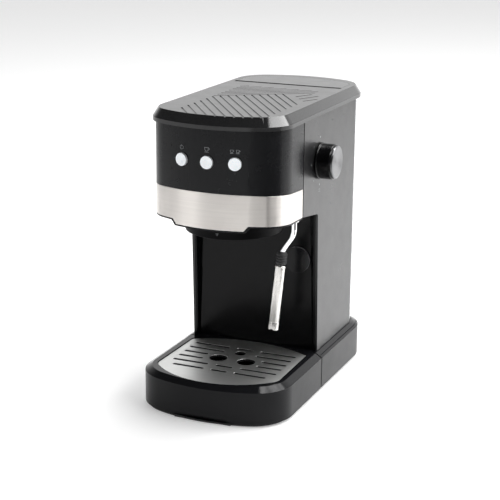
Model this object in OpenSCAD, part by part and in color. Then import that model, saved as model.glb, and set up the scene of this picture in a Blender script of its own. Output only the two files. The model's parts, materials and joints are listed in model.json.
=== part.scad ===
// Slim pump espresso machine: crowned head over a cup bay, side steam knob and
// wand, slide-out drip tray and a clear water tank at the back.
// X is the width, -Y is the front, +Z is up, and the table is at z = 0.

/* [Body] */
// Width across the two side panels
body_w = 140; // [130:1:150]
// Height of the top of the side panels above the table
body_top_z = 287.5; // [280:0.5:295]
// Height of the flat top of the cover above the table
cover_top_z = 300.3; // [298:0.1:302]
// Thickness of the plastic walls
wall = 2.5; // [2:0.1:3]

/* [Base] */
// Width of the base and of the drip tray
base_w = 156; // [154:1:158]
// Height of the top of the base
base_top_z = 40; // [39:0.5:41]
// Width of the grid
grid_w = 130.6; // [128:0.1:131]

/* [Controls] */
// Radius of a push button's face
button_r = 6.2; // [5.6:0.1:7]
// Distance between two push buttons
button_pitch = 27.2; // [25:0.1:29]
// How far a push button travels
button_travel = 1.2; // [0.8:0.1:1.5]
// Radius of the steam knob
knob_r = 17.6; // [16:0.1:18.5]
// How far the steam knob stands out from the side panel
knob_out = 18; // [16:0.5:20]

/* [Brewing] */
// Radius of the locking collar's bore, where the filter holder goes in
collar_bore_r = 30.5; // [30:0.1:31]
// Radius of the boiler
boiler_r = 31; // [29:1:32]

/* [Hidden] */
$fn = 48;

// Colours
c_black = [0.10, 0.10, 0.11];
c_gloss = [0.06, 0.06, 0.07];
c_steel = [0.80, 0.78, 0.75];
c_grey = [0.45, 0.45, 0.47];
c_white = [0.93, 0.94, 0.95];
c_rubber = [0.14, 0.14, 0.14];
c_brass = [0.78, 0.62, 0.30];
c_clear = [0.85, 0.92, 0.95, 0.5];
c_board = [0.10, 0.35, 0.18];
c_hose = [0.90, 0.90, 0.86];

// Clearances
gap = 0.3;
slide_gap = 0.4;
cut = 1;
bend_extra = 0.08;

// Main places along Y
half_w = body_w / 2;
base_half_w = base_w / 2;
seam_y = -59.5;
body_rear_y = 92.4;
fascia_front_y = -129.5;
base_front_y = -145.5;
base_rear_y = 142;
cover_front_y = -134;
cover_rear_y = 144;
tray_seam_y = -17.1;
// Width of the seam between the tray's side walls and the base
tray_seam_gap = 1.9;
tray_back_y = -5.5;
lean = 6.3;

// Main heights
plate_z = 0.8;
plate_t = 2.2;
wall_foot_z = 3.2;
chamfer_foot_z = 35.6;
chamfer_in = 7;
head_bottom_rear_z = 187.5;
head_bottom_seam_z = 193.9;
head_bottom_front_z = 196.5;
band_top_seam_z = 222;
band_top_front_z = 226.5;
tab_bottom_z = 191.3;
tab_half_w = 35;
tab_slope_w = 4.5;

// The mid plane of the whole machine, knob included, goes through the origin
x_centre = (half_w + knob_out + 0.5 - base_half_w) / 2;

// Column front wall: flat, between two cheeks that follow the leaning side panels
column_y = -7;
panel_foot_y = -9.4;
cheek_x = 65.5;
column_foot_half_w = 63.7;
column_head_half_w = 58.3;
disc_x = 46;
disc_z = 135.2;

// Rear edge of the grid: an arc
grid_rear_r = 126;
grid_rear_centre_y = -7.8;
function grid_rear_y(x) = grid_rear_centre_y - grid_rear_r + sqrt(grid_rear_r * grid_rear_r - x * x);
// Points along that arc from x = half_x to -half_x, moved by dy
function grid_rear(half_x, dy) =
    [for (i = [0 : 24]) let (x = half_x - 2 * half_x * i / 24) [x, grid_rear_y(x) + dy]];

// Group, wand, knob and cord gland places
group_y = -65.5;
skirt_r = 48;
skirt_bottom_z = 177.5;
collar_bottom_z = 180;
collar_bore_l = 7.6;
// Whole depth of the collar and the wider room above its bore
collar_l = 13.2;
collar_relief_r = 31.2;
knob_y = -13.5;
knob_z = 241.5;
wand_x = 54;
wand_y = -39.5;
wand_r = 2.7;
fascia_r = 115;
button_z = 256;
gland_x = -30;
gland_z = 18;

// Arc points from angle a0 to a1 about (cx, cy)
function arc(cx, cy, r, a0, a1, n) =
    [for (i = [0 : n]) let (a = a0 + (a1 - a0) * i / n) [cx + r * cos(a), cy + r * sin(a)]];

// Half angle of a crowned end: half width a, crown radius big, corner radius small
function crown_angle(a, big, small) = asin((a - small) / (big - small));
function crown_corner_y(a, big, small) = big - (big - small) * cos(crown_angle(a, big, small));

// One crowned end, listed from the left side (-X) to the right side (+X), front facing -Y
function front_end(a, front, big, small) =
    let (t = crown_angle(a, big, small), cy = front + crown_corner_y(a, big, small))
    concat(
        arc(-(a - small), cy, small, 180, 270 - t, 10),
        arc(0, front + big, big, 270 - t + 1, 270 + t - 1, 16),
        arc(a - small, cy, small, 270 + t, 360, 10)
    );
function rear_end(a, rear, big, small) =
    [for (p = front_end(a, -rear, big, small)) [-p[0], -p[1]]];

// Whole plan shape: crowned front and crowned rear
function plan(a, front, big_f, small_f, rear, big_r, small_r) =
    concat(front_end(a, front, big_f, small_f), rear_end(a, rear, big_r, small_r));
// Plan shape cut straight at the rear
function half_plan(a, front, big, small, rear) =
    concat(front_end(a, front, big, small), [[a, rear], [-a, rear]]);

base_plan = plan(base_half_w, base_front_y, 150, 40, base_rear_y, 150, 46);
base_top_plan = plan(base_half_w - chamfer_in, base_front_y + chamfer_in, 143, 33,
                     base_rear_y - chamfer_in, 143, 39);
rim_plan = plan(half_w + 1.5, cover_front_y, 115, 33, cover_rear_y, 115, 40);
cover_top_plan = plan(half_w - 4.3, cover_front_y + 5.8, 109, 27, cover_rear_y - 5.8, 109, 34);

module placed() translate([-x_centre, 0, 0]) children();
module prism(points, z0, z1) translate([0, 0, z0]) linear_extrude(z1 - z0) polygon(points);
// Round rod along +X, +Y or a tube between two points
module along_x(x0, x1, r) translate([x0, 0, 0]) rotate([0, 90, 0]) cylinder(r = r, h = x1 - x0);
module along_y(y0, y1, r) translate([0, y0, 0]) rotate([-90, 0, 0]) cylinder(r = r, h = y1 - y0);
module box(x0, x1, y0, y1, z0, z1) translate([x0, y0, z0]) cube([x1 - x0, y1 - y0, z1 - z0]);
// Solid or hollow rod from point p to point q
module rod(p, q, r, bore = 0) {
    d = q - p;
    len = norm(d);
    translate(p)
        rotate([0, acos(d[2] / len), atan2(d[1], d[0])])
            difference() {
                cylinder(r = r, h = len);
                if (bore > 0)
                    translate([0, 0, -cut]) cylinder(r = bore, h = len + 2 * cut);
            }
}
// Bent pipe through a list of points, with a slightly larger ball at each bend
module pipe(points, r) {
    for (i = [0 : len(points) - 2])
        rod(points[i], points[i + 1], r);
    for (i = [1 : 1 : len(points) - 2])
        translate(points[i]) sphere(r = r + bend_extra);
}
// Side view outline pushed through the full width; points are [y, z]
module side_slab(points, x0, x1)
    translate([x0, 0, 0]) rotate([90, 0, 90]) linear_extrude(x1 - x0) polygon(points);
// Front view outline pushed from y0 to y1; points are [x, z]
module front_slab(points, y0, y1)
    translate([0, y1, 0]) rotate([90, 0, 0]) linear_extrude(y1 - y0) polygon(points);

// ---------- Base ----------
module base_solid() {
    prism(base_plan, wall_foot_z, chamfer_foot_z);
    hull() {
        prism(base_plan, chamfer_foot_z - 0.02, chamfer_foot_z);
        prism(base_top_plan, base_top_z - 0.02, base_top_z);
    }
}
tray_inner_w = grid_w / 2 + 0.5;
base_screw_places = [[-60, 6], [60, 6], [-52, 118], [52, 118]];

module base_housing() color(c_black) placed() {
    difference() {
        base_solid();
        box(-100, 100, -200, tray_seam_y + tray_seam_gap, 0, 60);
        box(-tray_inner_w - 1.6, tray_inner_w + 1.6, -100, tray_back_y + 0.6, 0, 60);
        difference() {
            prism(plan(base_half_w - wall, base_front_y, 150, 38, base_rear_y - wall, 148, 44),
                  0, base_top_z - wall);
            box(-100, 100, -200, tray_seam_y + tray_seam_gap + wall, 0, 60);
            box(-tray_inner_w - 4.2, tray_inner_w + 4.2, -100, tray_back_y + 3.2, 0, 60);
            for (p = base_screw_places)
                translate([p[0], p[1], 0]) cylinder(r = 4.5, h = 60);
        }
        for (p = base_screw_places)
            translate([p[0], p[1], 0]) cylinder(r = 1.4, h = 16);
        box(-60, 60, 6, 84, 20, 60);
        translate([0, 110, 0]) cylinder(r = 3, h = 60);
        translate([gland_x, 0, gland_z]) along_y(130, 160, 6);
    }
}

foot_places = [[-58, -104], [58, -104], [-56, 98], [56, 98]];
plate_front_y = base_front_y + 1.5;
module base_plate() color(c_black) placed() {
    difference() {
        union() {
            prism(plan(base_half_w - 4, plate_front_y, 150, 38, base_rear_y - 4, 148, 42),
                  plate_z, plate_z + plate_t);
            // Guide rails that keep the tray straight
            for (s = [-1, 1])
                box(s * 40 - 1.5, s * 40 + 1.5, -110, -20, plate_z + plate_t, wall_foot_z + 1.4);
        }
        for (p = foot_places)
            translate([p[0], p[1], -cut]) cylinder(r = 4, h = 10);
        for (p = base_screw_places)
            translate([p[0], p[1], -cut]) cylinder(r = 1.8, h = 10);
        // Corners left and right of the middle tongue
        for (s = [-1, 1])
            translate([s * 74, base_front_y + 8, -cut]) rotate([0, 0, s * 34])
                translate([-40, -20, 0]) cube([80, 28, 10]);
    }
}

module rubber_feet() color(c_rubber) placed() {
    for (p = foot_places)
        translate([p[0], p[1], 0]) {
            cylinder(r = 9, h = plate_z);
            cylinder(r = 3.9, h = plate_z + plate_t);
        }
    // Grip strip under the front tongue
    box(-30, 30, -140.5, -132, 0, plate_z);
}

module plate_screws() color(c_steel) placed() {
    for (p = base_screw_places)
        translate([p[0], p[1], 0.2]) {
            cylinder(r = 3, h = plate_z - 0.2);
            cylinder(r = 1.4, h = 13);
        }
}

tray_floor_z = wall_foot_z + 2.2;
grid_t = 2.6;
grid_z = 36.6;
grid_plan = concat(
    front_end(grid_w / 2, base_front_y + chamfer_in + 0.6, 84, 14),
    grid_rear(64, 0)
);
tray_recess_plan = concat(front_end(tray_inner_w, base_front_y + chamfer_in, 84, 14),
                          grid_rear(64.6, 0.5));
tray_basin_plan = concat(front_end(tray_inner_w - 2.5, base_front_y + chamfer_in + 3, 81, 12),
                         grid_rear(62, -2.2));

module drip_tray() color(c_gloss) placed() {
    difference() {
        union() {
            difference() {
                base_solid();
                box(-100, 100, tray_seam_y, 200, 0, 60);
            }
            box(-tray_inner_w - 1, tray_inner_w + 1, tray_seam_y - 1, tray_back_y,
                wall_foot_z, base_top_z - slide_gap);
        }
        prism(tray_recess_plan, grid_z - 0.2, 60);
        prism(tray_basin_plan, tray_floor_z, 60);
        // Hollow side walls, open below
        for (s = [-1, 1])
            translate([s * (tray_inner_w + 5.2), 0, 0])
                box(-2.6, 2.6, -92, tray_seam_y - wall, 0, chamfer_foot_z - 4);
        // Guide slots over the rails
        for (s = [-1, 1])
            box(s * 40 - 2.2, s * 40 + 2.2, -112, 200, 0, wall_foot_z + 1.7);
        // Finger cut-out in the lower edge of the front wall
        front_slab([[-37.7, 0], [-26, 7.2], [26, 7.2], [37.7, 0]],
            base_front_y - 5, base_front_y + 5.2);
    }
    // Posts that carry the grid
    for (x = [-30, 30], y = [-95, -40])
        translate([x, y, tray_floor_z - 0.5]) cylinder(r = 3, h = grid_z - tray_floor_z + 0.5);
}

slot_pitch = 13.36;
slot_first_y = -101.5;
slot_w = 4;
slot_end = 56.4;
module grid_slot(x0, x1, y)
    translate([0, y, grid_z - cut]) {
        translate([x0 + slot_w / 2, 0, 0]) cylinder(r = slot_w / 2, h = grid_t + 2 * cut);
        translate([x1 - slot_w / 2, 0, 0]) cylinder(r = slot_w / 2, h = grid_t + 2 * cut);
        translate([x0 + slot_w / 2, -slot_w / 2, 0])
            cube([x1 - x0 - slot_w, slot_w, grid_t + 2 * cut]);
    }
// Each row: [row number, inner end of the side slots, outer end, has a middle slot]
grid_rows = [[0, 16.5, 50.5, true], [1, 17.5, slot_end, true], [2, 29.5, slot_end, false],
             [3, 29.5, slot_end, false], [4, 17.5, slot_end, false], [5, 17.5, slot_end, true]];
module drip_grid() color(c_steel) placed() {
    difference() {
        prism(grid_plan, grid_z, grid_z + grid_t);
        for (row = grid_rows) {
            y = slot_first_y + row[0] * slot_pitch;
            grid_slot(row[1], row[2], y);
            grid_slot(-row[2], -row[1], y);
            if (row[3])
                grid_slot(-9, 9, y);
        }
        for (x = [-15.25, 15.25])
            translate([x, -67.7, 0]) cylinder(r = 9.2, h = 60);
        translate([0, -46.6, 0]) cylinder(r = 5.7, h = 60);
    }
}

// ---------- Column ----------
// Side panel outline as [y, z]
panel_seam_gap = 1.8;
panel_outline = [
    [seam_y + panel_seam_gap, head_bottom_seam_z - 0.4], [seam_y + panel_seam_gap, body_top_z],
    [body_rear_y, body_top_z], [body_rear_y, base_top_z + 0.1],
    [panel_foot_y, base_top_z + 0.1], [panel_foot_y - lean + 0.1, head_bottom_rear_z - 2.6],
    [panel_foot_y - lean - 0.7, head_bottom_rear_z - 0.6],
    [panel_foot_y - lean - 2.8, head_bottom_rear_z + 0.4]
];
panel_screw_places = [[84, 60], [84, 270], [14, 60]];
module side_panel(side) {
    difference() {
        union() {
            side_slab(panel_outline, half_w - wall, half_w);
            // Screw bosses on the inner face
            for (p = panel_screw_places)
                translate([0, p[0], p[1]]) along_x(half_w - 9, half_w - wall + 0.1, 4);
        }
        for (p = panel_screw_places)
            translate([0, p[0], p[1]]) along_x(half_w - 10, half_w - wall, 1.4);
        if (side > 0)
            translate([0, knob_y, knob_z]) along_x(half_w - 10, half_w + 5, 7);
    }
}
module left_side_panel() color(c_black) placed() mirror([1, 0, 0]) side_panel(-1);
module right_side_panel() color(c_black) placed() side_panel(1);

// Plan of the room between the cheeks: half width at the wall and place of the panels' edge
module column_room(z, wall_half_w, edge_y)
    prism([[-wall_half_w, column_y], [wall_half_w, column_y], [cheek_x, edge_y],
           [cheek_x, edge_y - 12], [-cheek_x, edge_y - 12], [-cheek_x, edge_y]], z, z + 0.1);
module column_front() color(c_black) placed() {
    difference() {
        side_slab([[column_y + wall, base_top_z + 0.2], [panel_foot_y, base_top_z + 0.2],
                   [panel_foot_y - lean, 187.3], [-8, 186.8], [column_y + wall, 186.8]],
                  -half_w + wall + gap, half_w - wall - gap);
        hull() {
            column_room(base_top_z - 0.1, column_foot_half_w, panel_foot_y);
            column_room(189, column_head_half_w, panel_foot_y - lean);
        }
        translate([disc_x, 0, disc_z]) along_y(-60, 20, 6);
    }
}

module column_disc() color(c_black) placed()
    translate([disc_x, 0, disc_z]) {
        along_y(column_y - 3, column_y - 0.05, 13.5);
        along_y(column_y - 1, column_y + wall + 1.5, 5.9);
    }

module rear_panel() color(c_black) placed() {
    difference() {
        box(-half_w + wall + 0.1, half_w - wall - 0.1, body_rear_y - wall, body_rear_y,
            base_top_z + 0.2, body_top_z - 0.3);
        translate([0, 0, 52]) along_y(0, 120, 9.2);
        for (x = [-52 : 8 : 52])
            box(x - 1.4, x + 1.4, 60, 120, 200, 240);
    }
}

// Upright inner frame: ladder that carries the pump, boards and head
frame_front_y = -3;
module inner_frame() color(c_grey) placed() {
    for (s = [-1, 1])
        box(s * 58 - 2, s * 58 + 2, 8, 82, base_top_z + 0.2, 184.1);
    box(-60, 60, 24, 27, 150, 184.1);
    difference() {
        box(-60, 60, frame_front_y, 82, 184, 187);
        translate([34, 28, 180]) cylinder(r = 5, h = 20);
        translate([-18, 62, 180]) cylinder(r = 6, h = 20);
    }
    for (s = [-1, 1])
        difference() {
            box(s * 60 - 2, s * 60 + 2, -30, 76, 186.9, 284);
            box(-100, 100, -60, frame_front_y, 180, 197);
            if (s > 0)
                translate([0, knob_y, knob_z]) along_x(40, 90, 9);
        }
    // Cross bar that the boiler hangs from
    difference() {
        box(-60, 60, -26, -22, 262, 276);
        translate([0, 0, 262]) along_y(-40, 0, 6);
        translate([40, 0, 268]) along_y(-40, 0, 4);
    }
}

module panel_screws() color(c_steel) placed() {
    for (s = [-1, 1], p = panel_screw_places)
        translate([0, p[0], p[1]])
            if (s > 0) along_x(half_w - 9, half_w - wall - 0.2, 1.4);
            else translate([-body_w + wall + 9.2, 0, 0]) along_x(half_w - 9, half_w - wall - 0.2, 1.4);
}

// ---------- Head ----------
fascia_plan = half_plan(half_w, fascia_front_y, fascia_r, 32, seam_y);
fascia_inner_plan = half_plan(half_w - wall, fascia_front_y + wall, fascia_r - wall, 32 - wall,
                              seam_y + cut);
band_t = 0.8;
band_recess_plan = half_plan(half_w - band_t, fascia_front_y + band_t, fascia_r - band_t,
                             32 - band_t, seam_y + cut);
band_side = [[seam_y, head_bottom_seam_z], [seam_y, band_top_seam_z],
             [fascia_front_y, band_top_front_z], [-140, band_top_front_z],
             [-140, head_bottom_front_z], [fascia_front_y, head_bottom_front_z]];
tab_outline = [[-tab_half_w, tab_bottom_z], [-tab_half_w - tab_slope_w, head_bottom_front_z],
               [-tab_half_w - tab_slope_w, head_bottom_front_z + 6],
               [tab_half_w + tab_slope_w, head_bottom_front_z + 6],
               [tab_half_w + tab_slope_w, head_bottom_front_z], [tab_half_w, tab_bottom_z]];
// Everything the steel band covers, as a solid block; grow widens it on all sides
module band_block(grow) {
    side_slab([for (p = band_side) [p[0] + (p[0] > seam_y - 1 ? grow : 0),
                                    p[1] + (p[1] > 210 ? grow : -grow)]],
              -100, 100);
    front_slab([for (p = tab_outline) [p[0] + (p[0] > 0 ? grow : -grow), p[1] - grow]],
               -150, -100);
}

module button_places() {
    for (i = [-1 : 1])
        at_button(i) children();
}
module at_button(i) {
    a = asin(i * button_pitch / fascia_r);
    translate([0, fascia_front_y + fascia_r, button_z])
        rotate([0, 0, a]) translate([0, -fascia_r, 0]) children();
}

module head_fascia() color(c_black) placed() {
    difference() {
        prism(fascia_plan, 180, body_top_z);
        translate([0, 0, -cut]) prism(fascia_inner_plan, 0, 400);
        // Lower edge follows the band, a little below it
        difference() {
            box(-100, 100, -150, 0, 150, head_bottom_front_z + 8);
            band_block(1.6);
        }
        difference() {
            band_block(0.15);
            prism(band_recess_plan, 0, 400);
        }
        button_places() along_y(-10, 10, button_r + 0.35);
    }
    // Pillars that carry the button board
    for (x = [-38, 38], z = [246, 268])
        translate([x, 0, z]) along_y(-122.6, board_y - 0.1, 2.6);
    // Button wells behind the front wall
    button_places()
        difference() {
            along_y(2.2, 6.5, button_r + 3);
            along_y(0, 8, button_r + 1.7);
        }
}

module steel_band() color(c_steel) placed() {
    intersection() {
        difference() {
            prism(fascia_plan, 180, body_top_z);
            translate([0, 0, -cut]) prism(half_plan(half_w - band_t + 0.05,
                fascia_front_y + band_t - 0.05, fascia_r - band_t, 32 - band_t, seam_y + cut), 0, 400);
        }
        band_block(0);
    }
}

// Under panel of the head, rising towards the front
under_side = [[-8, 187.1], [seam_y, 192.2], [-134, 194.6], [-134, 197], [seam_y, 195], [-8, 189.9]];
module head_underside() color(c_black) placed() {
    difference() {
        intersection() {
            side_slab(under_side, -66.9, 66.9);
            prism(half_plan(half_w - wall - 0.2, fascia_front_y + wall + 0.2, fascia_r, 30, -5), 100, 300);
        }
        translate([0, group_y, 150]) cylinder(r = skirt_r + 0.3, h = 100, $fn = 120);
        translate([wand_x, wand_y, 150]) cylinder(r = 5.2, h = 100);
    }
}

cover_under_z = body_top_z + 0.2;
rim_top_z = 291.5;
lid_hole_half_w = 60;
lid_hole_front_y = 70.3;
lid_hole_rear_y = 128;
lid_hole_plan = concat([[-lid_hole_half_w, lid_hole_front_y], [lid_hole_half_w, lid_hole_front_y]],
                       rear_end(lid_hole_half_w, lid_hole_rear_y, 105, 24));
groove_angle = 34.5;
groove_pitch = 8.05;
groove_d = 0.8;
groove_w = 1.6;
// One straight groove from p to q in the top of the cover
module groove(p, q) {
    d = q - p;
    translate([p[0], p[1], cover_top_z - groove_d]) rotate([0, 0, atan2(d[1], d[0])]) {
        translate([0, -groove_w / 2, 0]) cube([norm(d), groove_w, groove_d + cut]);
        cylinder(r = 1.1, h = groove_d + cut, $fn = 16);
    }
}
// Across direction a and along direction b of the groove field
function across(s) = [s * cos(groove_angle), s * sin(groove_angle)];
function along(s) = [s * sin(groove_angle), -s * cos(groove_angle)];
field_y = seam_y;
// How far a diagonal groove runs before it leaves the field
function run_out(s, half_x, front) =
    min((half_x - across(s)[0]) / sin(groove_angle),
        (across(s)[1] - front) / cos(groove_angle));
field_half_x = 53.5;
field_left_x = -39.5;
module grooves() translate([0, field_y, 0]) {
    // Fifteen diagonal grooves in the front part
    for (k = [0 : 14]) {
        s = -56.3 + k * groove_pitch;
        edge_drop = 6.5 * pow(across(s)[0] / 60, 2);
        far = run_out(s, field_half_x, -69 + edge_drop);
        back = min(50, (across(s)[0] - field_left_x) / sin(groove_angle), 60);
        near = -min(back, 48.5);
        groove(across(s) + along(far), across(s) + along(near));
    }
    // Eight grooves at right angles to them in the rear part
    for (k = [0 : 7]) {
        y0 = 34 + k * 9.6;
        len = min((46 - field_left_x) / cos(groove_angle), (106 - y0) / sin(groove_angle));
        if (len > 6)
            groove([field_left_x, y0], [field_left_x, y0] + across(len));
    }
    // Three short grooves at the right
    for (k = [0 : 2])
        groove([37 + 8 * k, 64 - 11 * k], [37 + 8 * k, 64 - 11 * k] + (30 + 6 * k) * [cos(64), sin(64)]
               * (k == 2 ? 0.45 : 0.7));
}
module top_cover() color(c_black) placed() {
    difference() {
        union() {
            prism(rim_plan, cover_under_z, rim_top_z);
            hull() {
                prism(rim_plan, rim_top_z - 0.02, rim_top_z);
                prism(cover_top_plan, cover_top_z - 0.02, cover_top_z);
            }
        }
        // Hollow underside
        prism(plan(half_w - 7, cover_front_y + 9, 104, 24, cover_rear_y - 9, 104, 30),
              0, cover_top_z - wall);
        prism(plan(half_w - 1, cover_front_y + 3, 112, 30, cover_rear_y - 3, 112, 36),
              0, rim_top_z - 1.5);
        prism(lid_hole_plan, 200, 400);
        translate([0, hinge_y, hinge_z]) along_x(-62.9, 62.9, hinge_pin_r);
        grooves();
    }
    for (s = [-1, 1]) {
        // Seat for the tank lid along both sides
        box(s * 61.6 - 1.4, s * 61.6 + 1.4, 80, 98, 294.7, cover_top_z - wall + 0.1);
        box(s * 60 - 2.4, s * 60 + 2.4, 80, 98, 294.7, cover_top_z - 3.2);
        // Blocks that hold the ends of the hinge pin
        difference() {
            box(s * 61.7 - 1.4, s * 61.7 + 1.4, hinge_y - 2.8, hinge_y + 3.4,
                295, cover_top_z - wall + 0.1);
            translate([0, hinge_y, hinge_z]) along_x(-70, 70, hinge_pin_r);
        }
    }
}

lid_t = 2.9;
lid_gap = 0.3;
lid_half_w = lid_hole_half_w - lid_gap;
hinge_y = 76.3;
hinge_z = 298.4;
hinge_pin_r = 0.8;
module tank_lid() color(c_black) placed() {
    difference() {
        union() {
            prism(concat([[-lid_half_w, hinge_y], [lid_half_w, hinge_y]],
                         rear_end(lid_half_w, lid_hole_rear_y - lid_gap, 105, 24 - lid_gap)),
                  cover_top_z - lid_t, cover_top_z);
            // Hinge barrel along the front edge
            translate([0, hinge_y, hinge_z]) along_x(-lid_half_w, lid_half_w, 1.5);
            // Stiffening ribs
            for (x = [-44, 44])
                box(x - 1, x + 1, 82, 104, cover_top_z - 5.4, cover_top_z - 2);
        }
        translate([0, hinge_y, hinge_z]) along_x(-70, 70, hinge_pin_r + 0.05);
    }
}
module tank_lid_pin() color(c_steel) placed()
    translate([0, hinge_y, hinge_z]) along_x(-62.8, 62.8, hinge_pin_r);

// ---------- Buttons ----------
// How far a cap stands out of the front
button_proud = 2.3;
module push_button(i) {
    at_button(i) {
        difference() {
            along_y(-button_proud, 3.2, button_r);
            along_y(-button_proud - 1, 0.2 - button_proud, button_r - 0.9);
        }
        along_y(3, 4.4, button_r + 1.3);
        along_y(4.2, 7.4, 2.2);
    }
}
module power_button() color(c_white) placed() push_button(-1);
module single_cup_button() color(c_white) placed() push_button(0);
module double_cup_button() color(c_white) placed() push_button(1);

board_y = fascia_front_y + 15;
module button_board() color(c_board) placed() {
    difference() {
        box(-42, 42, board_y, board_y + 1.6, 242, 272);
        for (x = [-38, 38], z = [246, 268])
            translate([x, 0, z]) along_y(-200, 0, 1.6);
    }
}
// Each switch stands on the board and stops just short of its button's stem
module button_switches() color(c_grey) placed()
    for (i = [-1 : 1]) {
        a = asin(i * button_pitch / fascia_r);
        x = (fascia_r - 9) * sin(a);
        y = fascia_front_y + fascia_r - (fascia_r - 9.6) * cos(a);
        box(x - 3, x + 3, y, board_y - 0.05, button_z - 3, button_z + 3);
    }

// ---------- Group ----------
module group_skirt() color(c_black) placed() translate([0, group_y, 0]) {
    difference() {
        cylinder(r = skirt_r, h = 194, $fn = 120);
        translate([0, 0, -cut]) cylinder(r = 300, h = skirt_bottom_z + cut);
        translate([0, 0, -cut]) cylinder(r = skirt_r - 3, h = 250, $fn = 120);
    }
    difference() {
        translate([0, 0, 189.5]) cylinder(r = skirt_r - 2.5, h = 2.4);
        translate([0, 0, 180]) cylinder(r = 37.3, h = 20);
    }
}

ear_w = 12;
module group_head() color(c_steel) placed() translate([0, group_y, 0]) {
    difference() {
        union() {
            translate([0, 0, collar_bottom_z]) cylinder(r = 37, h = 14);
            translate([0, 0, collar_bottom_z + 13]) cylinder(r = 31.5, h = 4);
        }
        translate([0, 0, collar_bottom_z - cut]) cylinder(r = collar_bore_r, h = collar_bore_l + cut);
        translate([0, 0, collar_bottom_z + collar_bore_l])
            cylinder(r = collar_relief_r, h = collar_l - collar_bore_l);
        for (a = [0, 180])
            rotate([0, 0, a]) {
                // Way in for a locking ear, and the groove that it turns into
                box(28, 34.5, -ear_w / 2, ear_w / 2, collar_bottom_z - cut, collar_bottom_z + 9);
                intersection() {
                    translate([0, 0, collar_bottom_z + 4.5]) cylinder(r = 34.5, h = 4.5);
                    translate([0, 0, collar_bottom_z])
                        linear_extrude(20) polygon([[0, 0], [50, 0], [50, 30]]);
                }
            }
        translate([0, 0, 150]) cylinder(r = 2.2, h = 100);
    }
}
module group_gasket() color(c_rubber) placed() translate([0, group_y, 0])
    difference() {
        translate([0, 0, 190.2]) cylinder(r = 30.9, h = 3);
        translate([0, 0, 180]) cylinder(r = 25.6, h = 20);
    }
module shower_screen() color(c_steel) placed() translate([0, group_y, 0])
    difference() {
        translate([0, 0, 190.2]) cylinder(r = 25.3, h = 3);
        translate([0, 0, 191.2]) cylinder(r = 24.3, h = 3);
        for (ring = [1 : 5], i = [0 : ring * 6 - 1])
            rotate([0, 0, i * 60 / ring]) translate([ring * 4.2, 0, 180])
                cylinder(r = 0.7, h = 20, $fn = 16);
        translate([0, 0, 180]) cylinder(r = 2.2, h = 20);
    }
module shower_screw() color(c_steel) placed() translate([0, group_y, 0]) {
    difference() {
        translate([0, 0, 187.8]) cylinder(r = 4, h = 2.4);
        box(-3, 3, -0.5, 0.5, 187, 188.6);
    }
    translate([0, 0, 190]) cylinder(r = 2.05, h = 7);
}

// ---------- Boiler ----------
boiler_z = 197.2;
boiler_bolts = [for (a = [45 : 90 : 315]) [36.5 * cos(a), 36.5 * sin(a)]];
module flange(z0, z1) {
    translate([0, 0, z0]) cylinder(r = boiler_r, h = z1 - z0);
    for (p = boiler_bolts)
        translate([p[0], p[1], z0]) cylinder(r = 4.5, h = z1 - z0);
}
module boiler_base() color(c_grey) placed() translate([0, group_y, 0])
    difference() {
        flange(boiler_z, boiler_z + 14);
        translate([0, 0, boiler_z + 4]) cylinder(r = boiler_r - 4, h = 20);
        translate([0, 0, 190]) cylinder(r = 1.6, h = 20);
        for (p = boiler_bolts)
            translate([p[0], p[1], 150]) cylinder(r = 2.1, h = 100);
    }
module boiler_seal() color([0.75, 0.25, 0.15]) placed() translate([0, group_y, 0])
    difference() {
        translate([0, 0, boiler_z + 14]) cylinder(r = boiler_r, h = 1.4);
        translate([0, 0, 190]) cylinder(r = boiler_r - 4, h = 50);
    }
module boiler_dome() color(c_steel) placed() translate([0, group_y, 0])
    difference() {
        union() {
            flange(boiler_z + 15.4, boiler_z + 19);
            translate([0, 0, boiler_z + 15.4]) cylinder(r = boiler_r - 1.5, h = 40);
        }
        translate([0, 0, boiler_z + 12]) cylinder(r = boiler_r - 4, h = 40.5);
        for (p = boiler_bolts)
            translate([p[0], p[1], 150]) cylinder(r = 2.1, h = 150);
        for (x = [-14, 14])
            translate([x, 0, 240]) cylinder(r = 3.1, h = 30);
        for (y = [-14, 14])
            translate([0, y, 240]) cylinder(r = 2.05, h = 30);
    }
module heating_element() color(c_steel) placed() translate([0, group_y, 0]) {
    translate([0, 0, 222]) rotate_extrude() translate([14, 0]) circle(r = 3);
    for (x = [-14, 14])
        translate([x, 0, 222]) cylinder(r = 3, h = 40);
}
module boiler_screws() color(c_steel) placed() translate([0, group_y, 0])
    for (p = boiler_bolts)
        translate([p[0], p[1], boiler_z - 2.6]) {
            cylinder(r = 2, h = 24.6);
            cylinder(r = 3.6, h = 2.4, $fn = 6);
            translate([0, 0, 21.8]) cylinder(r = 3.6, h = 3, $fn = 6);
        }
module thermostat() color(c_grey) placed() translate([0, group_y, boiler_z + 55.6]) {
    translate([-14, -16, 0]) {
        cylinder(r = 6, h = 6);
        for (x = [-3, 3])
            box(x - 1.5, x + 1.5, -0.4, 0.4, 5.9, 11);
    }
}
module thermal_fuse() color(c_white) placed() translate([0, group_y, 0])
    translate([-boiler_r - 0.3, 0, boiler_z + 30]) {
        cylinder(r = 1.6, h = 16);
        translate([0, 0, -6]) cylinder(r = 0.5, h = 28);
    }

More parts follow.
